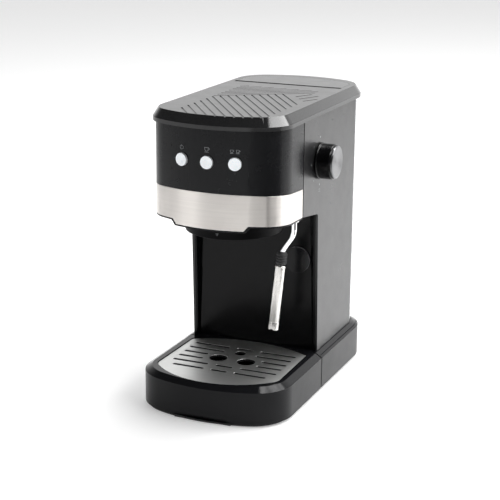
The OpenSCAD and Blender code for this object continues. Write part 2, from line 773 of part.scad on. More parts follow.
// ---------- Steam valve, knob and wand ----------
module steam_valve() color(c_brass) placed() translate([0, knob_y, knob_z]) {
    difference() {
        union() {
            box(34, 56, -9, 9, -9, 9);
            along_x(56, 59.5, 7.5);
        }
        along_x(40, 70, 4.05);
        translate([45, 0, -20]) cylinder(r = 2.6, h = 20);
    }
}
module valve_stem() color(c_steel) placed() translate([0, knob_y, knob_z]) {
    along_x(42, 72, 4);
    difference() {
        along_x(71.9, half_w + knob_out - 4, 3);
        box(71.9, 100, 1.8, 5, -5, 5);
    }
}
module steam_knob() color(c_gloss) placed() translate([0, knob_y, knob_z]) {
    difference() {
        union() {
            along_x(half_w + 0.6, half_w + 2.4, knob_r + 0.8);
            along_x(half_w + 2.3, half_w + knob_out - 1.2, knob_r);
        }
        along_x(half_w, half_w + knob_out - 4, 3.05);
        along_x(half_w, half_w + 2.2, 4.4);
    }
}
module knob_face() color(c_grey) placed() translate([0, knob_y, knob_z]) {
    difference() {
        along_x(half_w + knob_out - 1.2, half_w + knob_out + 0.5, knob_r - 0.4);
        // Pointer line
        box(half_w + knob_out, half_w + knob_out + 2, -0.6, 0.6, 6, knob_r - 2);
    }
}

wand_elbow_1 = [wand_x, wand_y, 170];
wand_axis_top = [40.6, wand_y + 2, 151];
wand_axis_end = [34.6, wand_y - 4.5, 69];
wand_dir = (wand_axis_end - wand_axis_top) / norm(wand_axis_end - wand_axis_top);
function down_wand(s) = wand_axis_top + s * wand_dir;
module wand_collar() color(c_steel) placed() translate([wand_x, wand_y, 0])
    difference() {
        union() {
            translate([0, 0, 183.4]) cylinder(r = 4.9, h = 22);
            translate([0, 0, 196.6]) cylinder(r = 8, h = 3, $fn = 6);
        }
        translate([0, 0, 180]) cylinder(r = wand_r + 0.08, h = 30);
    }
module wand_tube() color(c_steel) placed() {
    translate([wand_x, wand_y, wand_elbow_1[2]]) cylinder(r = wand_r, h = 208 - wand_elbow_1[2]);
    translate([wand_x, wand_y, 206.2]) cylinder(r = 4.4, h = 2);
    translate([wand_x, wand_y, 181.6]) cylinder(r = 3.8, h = 1.5);
    pipe([wand_elbow_1 + [0, 0, 1], wand_elbow_1, down_wand(0), down_wand(76)], wand_r);
}
grip_top = 0.4;
grip_r = 5.8;
module wand_grip() color(c_rubber) placed()
    difference() {
        union() {
            rod(down_wand(grip_top), down_wand(14), grip_r - 0.5);
            rod(down_wand(grip_top + 2), down_wand(12), grip_r);
        }
        rod(down_wand(-1), down_wand(16), wand_r);
    }
sleeve_r = 5.4;
module froth_sleeve() color(c_steel) placed()
    difference() {
        union() {
            rod(down_wand(14.6), down_wand(82), sleeve_r);
            rod(down_wand(14.6), down_wand(17), sleeve_r + 0.4);
        }
        rod(down_wand(13), down_wand(70), wand_r + 0.06);
        rod(down_wand(66), down_wand(84), 4.1);
        rod(down_wand(30), down_wand(30) + [-12, -12, 0], 0.9);
    }
module wand_tip() color(c_steel) placed()
    difference() {
        rod(down_wand(76), down_wand(79.5), wand_r);
        rod(down_wand(75), down_wand(82), 0.7);
    }

// ---------- Water ----------
tank_front_y = body_rear_y + 0.8;
tank_half_w = 68;
tank_bottom_z = base_top_z + 0.4;
tank_top_z = 283;
tank_t = 2.2;
tank_rear_y = 137.5;
function tank_plan(in) = concat(
    [[-tank_half_w + in, tank_front_y + in], [tank_half_w - in, tank_front_y + in]],
    rear_end(tank_half_w - in, tank_rear_y - in, 112 - in, 34 - in)
);
socket_z = 52;
module water_tank() color(c_clear) placed() {
    difference() {
        prism(tank_plan(0), tank_bottom_z, tank_top_z);
        prism(tank_plan(tank_t), tank_bottom_z + tank_t, 400);
        translate([0, 0, socket_z]) along_y(tank_front_y - 5, tank_front_y + 8, 6);
    }
    // Finger rail across the back
    difference() {
        prism(tank_plan(-1.2), tank_top_z - 9, tank_top_z - 5);
        prism(tank_plan(tank_t - 0.2), 0, 400);
        box(-100, 100, 0, 116, 0, 400);
    }
}
module tank_spigot() color(c_white) placed() translate([0, 0, socket_z])
    difference() {
        union() {
            along_y(tank_front_y - 9, tank_front_y + 6, 5.9);
            along_y(tank_front_y + tank_t, tank_front_y + tank_t + 2, 9);
        }
        along_y(tank_front_y - 10, tank_front_y + 7, 3.4);
    }
module tank_socket() color(c_grey) placed() translate([0, 0, socket_z])
    difference() {
        union() {
            along_y(70, body_rear_y, 9);
            along_y(84, body_rear_y - wall - 0.2, 12);
            along_y(56, 70.1, 4);
        }
        along_y(79, 120, 6.9);
        along_y(50, 80, 2.4);
    }
module tank_seal() color([0.75, 0.25, 0.15]) placed() translate([0, 84.2, socket_z])
    rotate([90, 0, 0]) difference() {
        translate([0, 0, -1]) cylinder(r = 6.9, h = 2);
        translate([0, 0, -2]) cylinder(r = 5.95, h = 4);
    }

pump_x = 0;
pump_y = 42;
module pump_body() color(c_white) placed() translate([pump_x, pump_y, 0]) {
    translate([0, 0, 70]) cylinder(r = 4, h = 10);
    translate([0, 0, 78]) cylinder(r = 13, h = 14);
    translate([0, 0, 90]) cylinder(r = 9.5, h = 34);
    translate([0, 0, 122]) cylinder(r = 11, h = 14);
    translate([0, 0, 134]) cylinder(r = 5, h = 10);
}
module pump_coil() color(c_grey) placed() translate([pump_x, pump_y, 0])
    difference() {
        box(-20, 20, -17, 17, 92.4, 121.6);
        translate([0, 0, 80]) cylinder(r = 9.8, h = 60);
    }
module pump_mounts() color(c_rubber) placed()
    for (s = [-1, 1]) {
        rod([s * 20, pump_y, 107], [s * 56, pump_y, 107], 5);
        rod([s * 22, pump_y, 107], [s * 26, pump_y, 107], 9);
    }
module suction_hose() color(c_hose) placed()
    difference() {
        pipe([[0, 62, socket_z], [0, pump_y, socket_z], [0, pump_y, 76]], 5.4);
        translate([0, 0, socket_z]) along_y(55, 80, 4);
        translate([0, pump_y, 70]) cylinder(r = 4, h = 20);
    }
module pressure_tube() color(c_hose) placed()
    pipe([[0, pump_y, 144.3], [0, pump_y, 150 - 2], [-18, 62, 160], [-18, 62, 262],
          [0, group_y + 14, 262], [0, group_y + 14, 246]], 2);
module steam_pipe() color(c_steel) placed()
    pipe([[45, knob_y, knob_z - 9.2], [45, knob_y, 214], [wand_x, wand_y, 214],
          [wand_x, wand_y, 209]], 2);
module boiler_pipe() color(c_steel) placed()
    pipe([[0, group_y - 14, 246], [0, group_y - 14, 268], [40, group_y - 14, 268],
          [40, knob_y, 268], [40, knob_y, knob_z + 9.2]], 2);

// ---------- Electrics ----------
module control_board() color(c_board) placed() {
    box(-52, -50.4, 50, 82, 66, 140);
    box(-50.5, -38, 56, 72, 72, 92);
    box(-50.5, -44, 56, 76, 100, 130);
}
module terminal_block() color(c_white) placed()
    for (k = [0 : 2])
        box(-50 + k * 8, -43 + k * 8, 68, 80, 44, 56);
module cord_gland() color(c_rubber) placed() translate([gland_x, 0, gland_z])
    difference() {
        union() {
            along_y(131, 145.4, 5.8);
            along_y(131, 134, 8);
            along_y(140.8, 143, 7.4);
        }
        along_y(130, 150, 3.4);
    }

base_housing();
base_plate();
rubber_feet();
plate_screws();
drip_tray();
drip_grid();
left_side_panel();
right_side_panel();
column_front();
column_disc();
rear_panel();
inner_frame();
panel_screws();
head_fascia();
steel_band();
head_underside();
top_cover();
tank_lid();
tank_lid_pin();
power_button();
single_cup_button();
double_cup_button();
button_board();
button_switches();
group_skirt();
group_head();
group_gasket();
shower_screen();
shower_screw();
boiler_base();
boiler_seal();
boiler_dome();
heating_element();
boiler_screws();
thermostat();
thermal_fuse();
steam_valve();
valve_stem();
steam_knob();
knob_face();
wand_collar();
wand_tube();
wand_grip();
froth_sleeve();
wand_tip();
water_tank();
tank_spigot();
tank_socket();
tank_seal();
suction_hose();
pump_body();
pump_coil();
pump_mounts();
pressure_tube();
steam_pipe();
boiler_pipe();
control_board();
terminal_block();
cord_gland();
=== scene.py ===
"""Slim pump espresso machine: looks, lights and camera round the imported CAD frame."""
import json
import math

import bmesh
import bpy
from mathutils import Matrix, Vector


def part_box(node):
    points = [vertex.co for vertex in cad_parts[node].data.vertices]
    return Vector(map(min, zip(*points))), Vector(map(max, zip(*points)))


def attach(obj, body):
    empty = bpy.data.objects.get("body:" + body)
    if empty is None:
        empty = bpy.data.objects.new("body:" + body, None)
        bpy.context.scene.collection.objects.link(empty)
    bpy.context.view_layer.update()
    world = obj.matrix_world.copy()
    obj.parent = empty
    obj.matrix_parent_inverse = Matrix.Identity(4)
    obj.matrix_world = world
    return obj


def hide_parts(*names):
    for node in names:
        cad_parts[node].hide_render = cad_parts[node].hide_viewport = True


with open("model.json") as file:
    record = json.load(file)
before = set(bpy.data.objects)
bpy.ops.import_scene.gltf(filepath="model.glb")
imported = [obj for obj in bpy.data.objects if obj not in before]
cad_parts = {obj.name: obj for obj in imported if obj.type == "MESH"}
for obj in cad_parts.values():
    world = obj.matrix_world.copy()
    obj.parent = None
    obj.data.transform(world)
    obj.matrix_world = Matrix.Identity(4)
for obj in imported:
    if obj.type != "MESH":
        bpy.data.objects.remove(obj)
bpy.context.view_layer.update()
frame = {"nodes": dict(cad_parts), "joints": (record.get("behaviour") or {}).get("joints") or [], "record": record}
record = frame["record"]
joints = {joint["name"]: joint for joint in frame["joints"]}
MM = 0.001
WHITE = (1, 1, 1, 1)

# Fascia and wand
CROWN_RADIUS = 115 * MM
WAND_ELBOW_Z = 170 * MM
STEAM_TUBE_RADIUS = 2.7 * MM

# Printed marks: how far they stand out, and how deep they are sunk in the surface
MARK_HEIGHT = 0.06 * MM
MARK_SUNK = 0.03 * MM


# ---------- Places and objects ----------
def middle(node):
    """Centre of a CAD node's box."""
    low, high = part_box(node)
    return (low + high) / 2


def joint_place(name):
    """A joint's position in the row frame."""
    return Vector(joints[name]["pos_m"])


def new_object(name, data):
    """A new object in the scene that shows data."""
    thing = bpy.data.objects.new(name, data)
    bpy.context.scene.collection.objects.link(thing)
    return thing


def axes_at(right, up, back, place):
    """The matrix of an object at place whose X, Y and Z run along right, up and back."""
    return Matrix((
        (right.x, up.x, back.x, place.x),
        (right.y, up.y, back.y, place.y),
        (right.z, up.z, back.z, place.z),
        (0, 0, 0, 1),
    ))


# ---------- Node helpers ----------
def new_material(name):
    """An empty node material and its shader."""
    material = bpy.data.materials.new(name)
    material.use_nodes = True
    return material, material.node_tree.nodes["Principled BSDF"]


def add(material, kind, **values):
    """A shader node, with values set on its attributes or its inputs."""
    node = material.node_tree.nodes.new(kind)
    for key, value in values.items():
        if key in node.inputs:
            node.inputs[key].default_value = value
        else:
            setattr(node, key, value)
    return node


def link(material, source, target):
    """Joins an output to an input."""
    material.node_tree.links.new(source, target)


def object_coords(material, scale=(1, 1, 1)):
    """Object coordinates, stretched by scale."""
    coords = add(material, "ShaderNodeTexCoord")
    mapping = add(material, "ShaderNodeMapping")
    mapping.inputs["Scale"].default_value = scale
    link(material, coords.outputs["Object"], mapping.inputs["Vector"])
    return mapping.outputs["Vector"]


def noise(material, coords, scale, detail=4.0, roughness=0.6):
    """Noise over coords, mostly between 0.3 and 0.7."""
    node = add(material, "ShaderNodeTexNoise")
    node.inputs["Scale"].default_value = scale
    node.inputs["Detail"].default_value = detail
    node.inputs["Roughness"].default_value = roughness
    link(material, coords, node.inputs["Vector"])
    return node.outputs["Fac"]


def spread(material, value, low, high):
    """Maps a 0.3..0.7 noise onto low..high."""
    node = add(material, "ShaderNodeMapRange")
    node.inputs["From Min"].default_value = 0.3
    node.inputs["From Max"].default_value = 0.7
    node.inputs["To Min"].default_value = low
    node.inputs["To Max"].default_value = high
    link(material, value, node.inputs["Value"])
    return node.outputs["Result"]


def blend_colour(material, value, first, second):
    """A colour that goes from first to second as value goes from 0 to 1."""
    node = add(material, "ShaderNodeMix", data_type="RGBA")
    node.inputs[6].default_value = (*first, 1)
    node.inputs[7].default_value = (*second, 1)
    link(material, value, node.inputs[0])
    return node.outputs[2]


def bump(material, shader, height, strength, distance):
    """Lets height disturb the shader's normal."""
    node = add(material, "ShaderNodeBump")
    node.inputs["Strength"].default_value = strength
    node.inputs["Distance"].default_value = distance
    link(material, height, node.inputs["Height"])
    link(material, node.outputs["Normal"], shader.inputs["Normal"])


# ---------- Materials ----------
def facing_up(material, low, high):
    """0 where the surface stands upright, 1 where it faces up or down, between two tilts."""
    coords = add(material, "ShaderNodeTexCoord")
    parts = add(material, "ShaderNodeSeparateXYZ")
    link(material, coords.outputs["Normal"], parts.inputs[0])
    size = add(material, "ShaderNodeMath", operation="ABSOLUTE")
    link(material, parts.outputs["Z"], size.inputs[0])
    step = add(material, "ShaderNodeMapRange", interpolation_type="SMOOTHSTEP")
    step.inputs["From Min"].default_value = low
    step.inputs["From Max"].default_value = high
    link(material, size.outputs[0], step.inputs["Value"])
    return step.outputs["Result"]


def moulded_plastic(name, colour, rough, grain=0.00005, grain_scale=2600, rough_spread=0.03,
                    second_rough=None, tilts=(0.25, 0.45), gloss_level=0.35):
    """Moulded plastic: fine spark-eroded grain, cloudy gloss and a faint change of tone.

    second_rough is the roughness of faces tilted more than tilts, such as a polished bevel."""
    material, shader = new_material(name)
    coords = object_coords(material)
    cloud = noise(material, coords, 16, 4)
    tone = spread(material, cloud, 0, 1)
    darker = tuple(channel * 0.95 for channel in colour)
    lighter = tuple(min(1, channel * 1.05) for channel in colour)
    link(material, blend_colour(material, tone, darker, lighter), shader.inputs["Base Color"])
    wear = noise(material, coords, 60, 5)
    satin = spread(material, wear, rough - rough_spread, rough + rough_spread)
    if second_rough is None:
        link(material, satin, shader.inputs["Roughness"])
    else:
        gloss = spread(material, wear, second_rough * 0.94, second_rough * 1.07)
        choice = add(material, "ShaderNodeMix", data_type="FLOAT")
        link(material, facing_up(material, *tilts), choice.inputs[0])
        link(material, satin, choice.inputs[2])
        link(material, gloss, choice.inputs[3])
        link(material, choice.outputs[0], shader.inputs["Roughness"])
    fine = noise(material, coords, grain_scale, 2, 0.5)
    bump(material, shader, fine, 0.25, grain)
    shader.inputs["IOR"].default_value = 1.5
    shader.inputs["Specular IOR Level"].default_value = gloss_level
    return material


def rimmed_plastic(name, colour, painted_highlight_colour):
    """Plastic disc that faces the front, with a painted highlight: a bright line painted round its rim."""
    material = moulded_plastic(name, colour, 0.2, gloss_level=0.2)
    shader = material.node_tree.nodes["Principled BSDF"]
    face = shader.inputs["Base Color"].links[0].from_socket
    coords = add(material, "ShaderNodeTexCoord")
    parts = add(material, "ShaderNodeSeparateXYZ")
    link(material, coords.outputs["Normal"], parts.inputs[0])
    rim_highlight_mask = add(material, "ShaderNodeMapRange", interpolation_type="SMOOTHSTEP")
    rim_highlight_mask.inputs["From Min"].default_value = -0.97
    rim_highlight_mask.inputs["From Max"].default_value = -0.8
    link(material, parts.outputs["Y"], rim_highlight_mask.inputs["Value"])
    # Painted highlight: the rim's rounded edge gets a light grey colour instead of the disc's black
    rim = add(material, "ShaderNodeMix", data_type="RGBA")
    rim.inputs[7].default_value = (*painted_highlight_colour, 1)
    link(material, rim_highlight_mask.outputs["Result"], rim.inputs[0])
    link(material, face, rim.inputs[6])
    link(material, rim.outputs[2], shader.inputs["Base Color"])
    return material


def brushed_metal(name, colour, rough, stretch, streak=420, depth=0.00002, rough_spread=0.08,
                  contrast=0.1, drawn_out=None):
    """Brushed metal: long fine streaks that run where stretch is small.

    drawn_out is the direction along which reflections are drawn out, across the brush lines."""
    material, shader = new_material(name)
    shader.inputs["Metallic"].default_value = 1
    coords = object_coords(material, stretch)
    lines = noise(material, coords, streak, 8, 0.7)
    broad = noise(material, object_coords(material), 30, 3)
    darker = tuple(channel * (1 - contrast) for channel in colour)
    lighter = tuple(min(1, channel * (1 + contrast)) for channel in colour)
    tone = spread(material, lines, 0, 1)
    link(material, blend_colour(material, tone, darker, lighter), shader.inputs["Base Color"])
    mixed = add(material, "ShaderNodeMath", operation="ADD")
    link(material, spread(material, lines, rough - rough_spread, rough + rough_spread),
         mixed.inputs[0])
    link(material, spread(material, broad, -0.03, 0.03), mixed.inputs[1])
    link(material, mixed.outputs[0], shader.inputs["Roughness"])
    bump(material, shader, lines, 0.25, depth)
    if drawn_out:
        shader.inputs["Anisotropic"].default_value = 0.95
        direction = add(material, "ShaderNodeCombineXYZ", X=drawn_out[0], Y=drawn_out[1],
                        Z=drawn_out[2])
        link(material, direction.outputs[0], shader.inputs["Tangent"])
    return material


def slotted_metal(name, colour, rough, stretch):
    """Brushed metal sheet whose upright walls, in slots and holes, are painted dark and dull: painted shade in the
    slots.
    """
    material = brushed_metal(name, colour, rough, stretch, rough_spread=0.04, contrast=0.05)
    shader = material.node_tree.nodes["Principled BSDF"]
    face = shader.inputs["Base Color"].links[0].from_socket
    # Painted shade: faces that stand upright, the walls of the slots and holes, get a dark grey colour
    cut = add(material, "ShaderNodeMix", data_type="RGBA")
    cut.inputs[6].default_value = (0.10, 0.10, 0.10, 1)
    link(material, facing_up(material, 0.2, 0.5), cut.inputs[0])
    link(material, face, cut.inputs[7])
    link(material, cut.outputs[2], shader.inputs["Base Color"])
    return material


def polished_metal(name, colour, rough):
    """Polished metal with faint wiping marks."""
    material, shader = new_material(name)
    shader.inputs["Metallic"].default_value = 1
    coords = object_coords(material)
    marks = noise(material, coords, 90, 6)
    darker = tuple(channel * 0.94 for channel in colour)
    link(material, blend_colour(material, spread(material, marks, 0, 1), darker, colour),
         shader.inputs["Base Color"])
    link(material, spread(material, marks, rough * 0.6, rough * 1.6), shader.inputs["Roughness"])
    bump(material, shader, noise(material, coords, 700, 3), 0.08, 0.00002)
    return material


def rubber_skin(name, colour):
    """Matte rubber: soft grain and dusty gloss changes."""
    material, shader = new_material(name)
    coords = object_coords(material)
    dust = noise(material, coords, 160, 6)
    lighter = tuple(channel * 1.5 + 0.004 for channel in colour)
    link(material, blend_colour(material, spread(material, dust, 0, 1), colour, lighter),
         shader.inputs["Base Color"])
    link(material, spread(material, dust, 0.55, 0.78), shader.inputs["Roughness"])
    bump(material, shader, noise(material, coords, 1500, 3), 0.4, 0.00008)
    return material


def clear_plastic(name):
    """Clear moulded tank plastic, slightly milky, with soft flow marks."""
    material, shader = new_material(name)
    shader.inputs["Transmission Weight"].default_value = 0.82
    shader.inputs["IOR"].default_value = 1.49
    coords = object_coords(material, (1, 1, 0.25))
    flow = noise(material, coords, 30, 4)
    link(material, spread(material, flow, 0.12, 0.26), shader.inputs["Roughness"])
    link(material, blend_colour(material, spread(material, flow, 0, 1), (0.79, 0.82, 0.83),
                                (0.85, 0.87, 0.88)), shader.inputs["Base Color"])
    bump(material, shader, flow, 0.1, 0.0004)
    return material


def painted_glow_button(name):
    """Milky white button cap, brightened by a painted glow: its soft emission stands in for light."""
    material, shader = new_material(name)
    coords = object_coords(material)
    speckle = noise(material, coords, 900, 4)
    link(material, blend_colour(material, spread(material, speckle, 0, 1), (0.60, 0.62, 0.63),
                                (0.78, 0.80, 0.81)), shader.inputs["Base Color"])
    link(material, spread(material, speckle, 0.22, 0.42), shader.inputs["Roughness"])
    bump(material, shader, speckle, 0.25, 0.00006)
    shader.inputs["Subsurface Weight"].default_value = 0.15
    shader.inputs["Subsurface Radius"].default_value = (0.002, 0.002, 0.002)
    # Painted glow: this emission brightens the cap so that it reads white
    shader.inputs["Emission Color"].default_value = (0.9, 0.95, 1, 1)
    shader.inputs["Emission Strength"].default_value = 0.3
    return material


def spun_metal(name, colour, centre, rough):
    """Dark metal disc, spun about X: fine rings round centre."""
    material, shader = new_material(name)
    shader.inputs["Metallic"].default_value = 1
    shader.inputs["Anisotropic"].default_value = 0.9
    shader.inputs["Anisotropic Rotation"].default_value = 0.25
    coords = add(material, "ShaderNodeTexCoord")
    shift = add(material, "ShaderNodeVectorMath", operation="SUBTRACT")
    shift.inputs[1].default_value = centre
    link(material, coords.outputs["Object"], shift.inputs[0])
    squash = add(material, "ShaderNodeVectorMath", operation="MULTIPLY")
    squash.inputs[1].default_value = (0, 1, 1)
    link(material, shift.outputs[0], squash.inputs[0])
    length = add(material, "ShaderNodeVectorMath", operation="LENGTH")
    link(material, squash.outputs[0], length.inputs[0])
    rings = add(material, "ShaderNodeCombineXYZ")
    link(material, length.outputs["Value"], rings.inputs[0])
    lines = noise(material, rings.outputs[0], 5200, 3)
    link(material, spread(material, lines, rough - 0.07, rough + 0.07), shader.inputs["Roughness"])
    darker = tuple(channel * 0.8 for channel in colour)
    link(material, blend_colour(material, spread(material, lines, 0, 1), darker, colour),
         shader.inputs["Base Color"])
    tangent = add(material, "ShaderNodeTangent", direction_type="RADIAL", axis="X")
    link(material, tangent.outputs[0], shader.inputs["Tangent"])
    bump(material, shader, lines, 0.3, 0.00002)
    return material


wand_axis = tuple(joints["froth_sleeve_pull"]["axis"])
dark = (0.006, 0.0062, 0.0072)
MATERIALS = {
    "black_plastic": moulded_plastic("satin black plastic", dark, 0.30),
    "gloss_plastic": moulded_plastic("gloss black plastic", (0.004, 0.004, 0.005), 0.12,
                                     grain=0.00001, rough_spread=0.03),
    "rubber": rubber_skin("black rubber", (0.018, 0.018, 0.019)),
    "fastener_steel": polished_metal("machined steel", (0.60, 0.60, 0.61), 0.3),
    "grid_steel": slotted_metal("satin grid steel", (0.62, 0.625, 0.615), 0.45, (0.03, 1, 1)),
    "band_steel": brushed_metal("brushed band steel", (0.78, 0.745, 0.71), 0.36,
                                (0.02, 0.02, 1), rough_spread=0.03, contrast=0.05,
                                depth=0.00001, drawn_out=(0, 0, 1)),
    "frame_plastic": moulded_plastic("grey plastic", (0.18, 0.18, 0.19), 0.5),
    "button_plastic": painted_glow_button("milky button plastic"),
    "circuit_board": moulded_plastic("green board", (0.03, 0.16, 0.07), 0.35),
    "collar_metal": brushed_metal("cast collar", (0.55, 0.55, 0.56), 0.35, (1, 1, 0.1)),
    "screen_steel": brushed_metal("pressed screen", (0.62, 0.62, 0.62), 0.3, (1, 1, 1)),
    "boiler_alloy": brushed_metal("cast boiler alloy", (0.5, 0.5, 0.51), 0.5, (1, 1, 1)),
    "boiler_steel": brushed_metal("drawn boiler steel", (0.6, 0.6, 0.6), 0.3, (1, 1, 0.05)),
    "red_silicone": rubber_skin("red silicone", (0.45, 0.07, 0.04)),
    "pale_plastic": moulded_plastic("pale plastic", (0.70, 0.70, 0.67), 0.45),
    "valve_brass": brushed_metal("machined brass", (0.72, 0.52, 0.22), 0.3, (0.1, 1, 1)),
    "coil_metal": moulded_plastic("lacquered coil", (0.2, 0.2, 0.21), 0.4),
    "knob_metal": spun_metal("spun knob metal", (0.22, 0.22, 0.225), middle("knob_face"), 0.3),
    "wand_chrome": polished_metal("polished chrome", (0.86, 0.86, 0.87), 0.045),
    "sleeve_steel": brushed_metal("satin sleeve steel", (0.88, 0.86, 0.83), 0.26,
                                  (1, 1, 0.03), rough_spread=0.01, contrast=0.03,
                                  depth=0.0000005, drawn_out=wand_axis),
    "clear_tank": clear_plastic("clear tank plastic"),
    "hose_silicone": rubber_skin("pale silicone", (0.7, 0.7, 0.66)),
    "pipe_steel": brushed_metal("drawn pipe steel", (0.6, 0.6, 0.6), 0.3, (1, 1, 0.1)),
}
NODE_MATERIALS = {
    "top_cover": moulded_plastic("cover plastic", (0.012, 0.012, 0.0125), 0.12, rough_spread=0.012,
                                 second_rough=0.34, tilts=(0.93, 0.97), gloss_level=0.5),
    "tank_lid": moulded_plastic("tank lid plastic", (0.010, 0.010, 0.0105), 0.12, rough_spread=0.012,
                                second_rough=0.32, tilts=(0.93, 0.97), gloss_level=0.5),
    "base_housing": moulded_plastic("base plastic", dark, 0.31, second_rough=0.10,
                                    gloss_level=0.14),
    "drip_tray": moulded_plastic("tray plastic", dark, 0.31, second_rough=0.10, gloss_level=0.14),
    "group_skirt": moulded_plastic("skirt plastic", (0.003, 0.003, 0.0034), 0.42, gloss_level=0.06),
    "head_fascia": moulded_plastic("fascia plastic", dark, 0.26, gloss_level=0.2),
    "column_front": moulded_plastic("column plastic", (0.003, 0.0032, 0.0036), 0.22,
                                    gloss_level=0.14),
    # The disc's light grey rim colour is a painted highlight
    "column_disc": rimmed_plastic("disc plastic", (0.003, 0.0032, 0.004), (0.30, 0.30, 0.31)),
    "left_side_panel": moulded_plastic("panel plastic", (0.009, 0.009, 0.0095), 0.30,
                                       gloss_level=0.5),
}
NODE_MATERIALS["right_side_panel"] = NODE_MATERIALS["left_side_panel"]
button_side = moulded_plastic("button side plastic", (0.42, 0.43, 0.44), 0.35)
knob_black = moulded_plastic("knob black plastic", (0.002, 0.002, 0.0024), 0.16, grain=0.00001,
                             gloss_level=0.2)
print_white = moulded_plastic("printed mark", (0.30, 0.31, 0.32), 0.5)


# ---------- CAD nodes: smooth shading, fine edges and materials ----------
def smoothing_group():
    """Geometry nodes that join split corners and shade smooth, but for real edges."""
    tree = bpy.data.node_groups.new("smooth by angle", "GeometryNodeTree")
    tree.interface.new_socket("Geometry", in_out="INPUT", socket_type="NodeSocketGeometry")
    tree.interface.new_socket("Geometry", in_out="OUTPUT", socket_type="NodeSocketGeometry")
    entry = tree.nodes.new("NodeGroupInput")
    leave = tree.nodes.new("NodeGroupOutput")
    merge = tree.nodes.new("GeometryNodeMergeByDistance")
    merge.inputs["Distance"].default_value = 0.002 * MM
    faces = tree.nodes.new("GeometryNodeSetShadeSmooth")
    faces.domain = "FACE"
    faces.inputs["Shade Smooth"].default_value = True
    edges = tree.nodes.new("GeometryNodeSetShadeSmooth")
    edges.domain = "EDGE"
    edges.inputs["Shade Smooth"].default_value = False
    angle = tree.nodes.new("GeometryNodeInputMeshEdgeAngle")
    sharp = tree.nodes.new("ShaderNodeMath")
    sharp.operation = "GREATER_THAN"
    sharp.inputs[1].default_value = math.radians(28)
    tree.links.new(entry.outputs[0], merge.inputs[0])
    tree.links.new(merge.outputs[0], faces.inputs["Geometry"])
    tree.links.new(faces.outputs[0], edges.inputs["Geometry"])
    tree.links.new(angle.outputs["Unsigned Angle"], sharp.inputs[0])
    tree.links.new(sharp.outputs[0], edges.inputs["Selection"])
    tree.links.new(edges.outputs[0], leave.inputs[0])
    return tree


SMOOTHING = smoothing_group()


def soften(node, width):
    """Shades a CAD node smooth and rounds its sharp edges by width, as moulding leaves them."""
    piece = frame["nodes"][node]
    smooth = piece.modifiers.new("smooth", "NODES")
    smooth.node_group = SMOOTHING
    if width:
        bevel = piece.modifiers.new("edges", "BEVEL")
        bevel.width = width
        bevel.segments = 2
        bevel.limit_method = "ANGLE"
        bevel.angle_limit = math.radians(32)
        bevel.use_clamp_overlap = True
        bevel.harden_normals = False


slot_of = {part["node"]: part["material_slot"] for part in record["subparts"]}
EDGE_WIDTHS = {
    "base_housing": 0.4, "drip_tray": 0.4, "drip_grid": 0.25, "left_side_panel": 0.25,
    "right_side_panel": 0.25, "column_front": 0.4, "column_disc": 0.8, "head_fascia": 0.2,
    "steel_band": 0.2, "head_underside": 0.4, "top_cover": 0.12, "tank_lid": 0.12,
    "group_skirt": 0.5, "water_tank": 0.4, "rear_panel": 0.3, "cord_gland": 0.4,
    "group_head": 0.4, "wand_collar": 0.3, "rubber_feet": 0.3, "base_plate": 0.4,
}
for name, piece in frame["nodes"].items():
    piece.data.materials.clear()
    piece.data.materials.append(NODE_MATERIALS.get(name) or MATERIALS[slot_of[name]])
    soften(name, EDGE_WIDTHS.get(name, 0) * MM)


# ---------- Mesh helpers ----------
def make_piece(name, mesh_data, slot, body, material=None, smooth_angle=35):
    """Turns a bmesh into a named piece with its material and body; slot picks the material when none is given."""
    bmesh.ops.recalc_face_normals(mesh_data, faces=mesh_data.faces)
    mesh = bpy.data.meshes.new(name)
    mesh_data.to_mesh(mesh)
    mesh_data.free()
    piece = new_object(name, mesh)
    mesh.materials.append(material or MATERIALS[slot])
    mesh.shade_smooth()
    mesh.set_sharp_from_angle(angle=math.radians(smooth_angle))
    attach(piece, body)
    return piece


def fillet(points, steps=5):
    """Rounds a profile's corners. Points are (across, along, radius)."""
    result = []
    for index, (across, along, radius) in enumerate(points):
        corner = Vector((across, along))
        if not radius or index in (0, len(points) - 1):
            result.append(corner)
            continue
        before = Vector(points[index - 1][:2]) - corner
        after = Vector(points[index + 1][:2]) - corner
        reach = min(radius, before.length * 0.5, after.length * 0.5)
        start = corner + before.normalized() * reach
        end = corner + after.normalized() * reach
        for step in range(steps + 1):
            t = step / steps
            result.append((1 - t) ** 2 * start + 2 * t * (1 - t) * corner + t ** 2 * end)
    return result


def turned(profile, origin, axis, turns=96):
    """Closed lathe shape: profile of (radius, distance along axis), from end to end on the axis."""
    shape = bmesh.new()
    basis = axis.to_track_quat("Z", "Y").to_matrix()
    rings = []
    for radius, along in profile:
        if radius < 1e-7:
            rings.append([shape.verts.new(origin + basis @ Vector((0, 0, along)))])
            continue
        rings.append([
            shape.verts.new(origin + basis @ Vector((radius * math.cos(turn),
                                                      radius * math.sin(turn), along)))
            for turn in (2 * math.pi * step / turns for step in range(turns))
        ])
    for low, high in zip(rings, rings[1:]):
        for step in range(turns):
            after = (step + 1) % turns
            corners = [low[step % len(low)], low[after % len(low)],
                       high[after % len(high)], high[step % len(high)]]
            unique = list(dict.fromkeys(corners))
            if len(unique) > 2:
                shape.faces.new(unique)
    return shape


def hollow_turned(profile, origin, axis, turns=72):
    """Closed ring shape: the profile's two ends are joined along the bore."""
    shape = turned(list(profile) + [profile[0]], origin, axis, turns)
    bmesh.ops.remove_doubles(shape, verts=shape.verts, dist=1e-7)
    return shape


